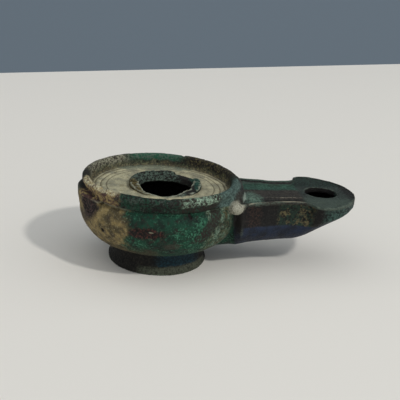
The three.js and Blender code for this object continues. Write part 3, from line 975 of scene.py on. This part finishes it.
# The upper band of the foot on the near side is teal patina, partly painted shade from the bowl overhanging it.
foot_teal_and_shade = patina.band(turn_at + jag * 14, -96, -40, 10) * patina.step(z + jag * 2, 3.6, 4.6)
foot = patina.mix(foot_teal_and_shade, foot, patina.mix(patina.step(fine, 0.45, 0.6), paint(4, 26, 34), paint(12, 50, 60)))
foot_low = patina.step(z + jag * 1.4 + drift, 4.4, 3.4) * patina.band(turn_at + jag * 20, -116, -20, 8)
foot = patina.mix(foot_low, foot, patina.mix(patina.step(fine + jag * 0.3, 0.36, 0.58), paint(30, 32, 24), paint(68, 72, 58)))
far_foot = patina.step(turn_at, 5, 25) * patina.step(cloud(8, shift=400), 0.46, 0.56)
foot = patina.mix(far_foot * 0.8, foot, patina.mix(patina.step(fine, 0.45, 0.6), paint(24, 22, 14), paint(40, 52, 44)))

# %% [markdown]
# ### Putting the zones together
#
# Zones are laid over each other from the bowl up. Then the measured edges come
# in: hollows hold dark earth, and standing edges are worn towards pale green.
# What lies inside the hollow is painted near black, as painted shade.

# %% Layer the zones
colour = patina.mix(on_rim, bowl, rim)
colour = patina.mix(on_top, colour, top)
colour = patina.mix(on_collar, colour, collar_skin)
colour = patina.mix(on_nozzle, colour, nozzle_skin)
colour = patina.mix(on_foot, colour, foot)

# painted shade: the creases where the nozzle's sides meet the bowl are darkened towards near black
crease_shade = spot((33.0, -18.5, 24.5), (2.6, 3.4, 6.5), rag=0.5) + spot((33.0, 18.5, 24.5), (2.6, 3.4, 6.5), rag=0.5)
colour = patina.mix(crease_shade * 0.85, colour, soot_and_shade)
seam = patina.band(radius + jag * 0.5, 37.8, 38.7, 0.25) * patina.band(y, -15, -1, 1.5) * patina.step(z, 32, 32.4) * patina.step(x, 30, 32)
colour = patina.mix(seam * 0.8, colour, paint(150, 164, 150))
deposit_here = spot((31.4, -21.2, 31.6), (3.6, 4.0, 3.4), rag=0.7)
colour = patina.mix(deposit_here * patina.step(fine, 0.3, 0.48), colour, patina.mix(patina.step(grit, 0.42, 0.62), deposit, stone))
# painted highlight: a pale line along the groove under the rim band, on the near left
groove_highlight = patina.band(z + jag * 0.4, 32.6, 33.3, 0.3) * patina.step(radius, 31.6, 32) * (1 - on_nozzle)
colour = patina.mix(groove_highlight * patina.band(turn_at, -150, -120, 6) * 0.7, colour, stone)

hollows = patina.step(proud + jag * 0.5, -0.25, -0.85)
colour = patina.mix(hollows * 0.7, colour, soot_and_shade)
edges = patina.step(proud + jag * 0.7, 0.4, 1.0) * patina.step(fine, 0.36, 0.56)
colour = patina.mix(edges * 0.35, colour, paint(110, 124, 106))
dark_grain = patina.step(cloud(0.5, detail=3, roughness=0.75, shift=520), 0.52, 0.66)
colour = patina.mix(dark_grain * 0.6, colour, deep(colour, 0.3))
pale_grain = patina.step(cloud(0.45, detail=2, roughness=0.7, shift=560), 0.6, 0.72)
colour = patina.mix(pale_grain * 0.5, colour, deep(colour, 2.4))
# painted shade: the inside of the hollow is painted near black
inner = patina.out("ShaderNodeAttribute", {"attribute_name": "within"}, None, output=2)
colour = patina.mix(inner, colour, paint(16, 14, 12))
print("patina has", len(patina.tree.nodes), "nodes")

# %% [markdown]
# ### Surface
#
# Salts are chalky and dark oxide has a dull gloss, so roughness follows the
# same noise as the colour. Grains too small for the mesh are a Bump node.

# %% Roughness, bump and output
roughness = 0.86 - patina.step(fine, 0.3, 0.7) * 0.22 - on_nozzle * 0.14 + on_top * 0.05
relief = cloud(0.55, detail=5, roughness=0.7, shift=440) * 0.7 + cloud(1.8, detail=4, shift=480)
bumps = patina.out("ShaderNodeBump", None, {"Strength": 0.9, "Distance": 0.00045, "Height": relief})
shader = patina.node("ShaderNodeBsdfPrincipled", None, {
    "Base Color": colour, "Roughness": roughness, "Normal": bumps, "Specular IOR Level": 0.28,
})
patina.node("ShaderNodeOutputMaterial", None, {"Surface": Wire(patina, shader.outputs["BSDF"])})
lamp.data.materials.clear()
lamp.data.materials.append(patina.material)
print("finished patina with", len(patina.tree.nodes), "nodes")

# %% [markdown]
# ## The stage
#
# The lamp stands on a pale floor with a blue-grey wall far behind it. A big
# soft light on the right gives the shadow on the left, and an even sky fills
# the rest.

# %% Floor and wall
def plain(name, colour):
    finish = Finish(name)
    shader = finish.node("ShaderNodeBsdfPrincipled", None, {"Base Color": colour, "Roughness": 0.92})
    finish.node("ShaderNodeOutputMaterial", None, {"Surface": Wire(finish, shader.outputs["BSDF"])})
    return finish.material


def sheet(name, corners, colour):
    pick_nothing()
    bpy.ops.mesh.primitive_plane_add(size=1)
    piece = bpy.context.object
    piece.name = name
    for vertex, corner in zip(piece.data.vertices, corners):
        vertex.co = corner
    piece.data.materials.append(plain(name, colour))
    return piece


sheet("floor", [(-1.6, -1.4, 0), (1.6, -1.4, 0), (-1.6, -0.095, 0), (1.6, 1.011, 0)], paint(232, 228, 220))
sheet("wall", [(-4, 2.2, -1.5), (4, 2.2, -1.5), (-4, 2.2, 3), (4, 2.2, 3)], paint(104, 116, 126))

# %% Lights
def soft_light(name, place, aim, size, watts, tint):
    light = bpy.data.lights.new(name, "AREA")
    light.shape = "DISK"
    light.size = size
    light.energy = watts
    light.color = tint
    holder = bpy.data.objects.new(name, light)
    bpy.context.scene.collection.objects.link(holder)
    holder.location = place
    holder.rotation_euler = (Vector(aim) - Vector(place)).to_track_quat("-Z", "Y").to_euler()
    print(name, watts, "W")


soft_light("key", (1.65, -1.95, 2.5), (0, 0, 0), 0.25, 46, (1.0, 0.985, 0.96))
sky = bpy.data.worlds.new("sky")
sky.use_nodes = True
sky.node_tree.nodes["Background"].inputs["Color"].default_value = (0.94, 0.97, 1.0, 1)
sky.node_tree.nodes["Background"].inputs["Strength"].default_value = 0.72
bpy.context.scene.world = sky
bpy.context.scene.view_settings.view_transform = "Standard"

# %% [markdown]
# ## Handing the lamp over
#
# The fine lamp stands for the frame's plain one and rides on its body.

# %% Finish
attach(lamp, "root")
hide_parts("lamp_body")
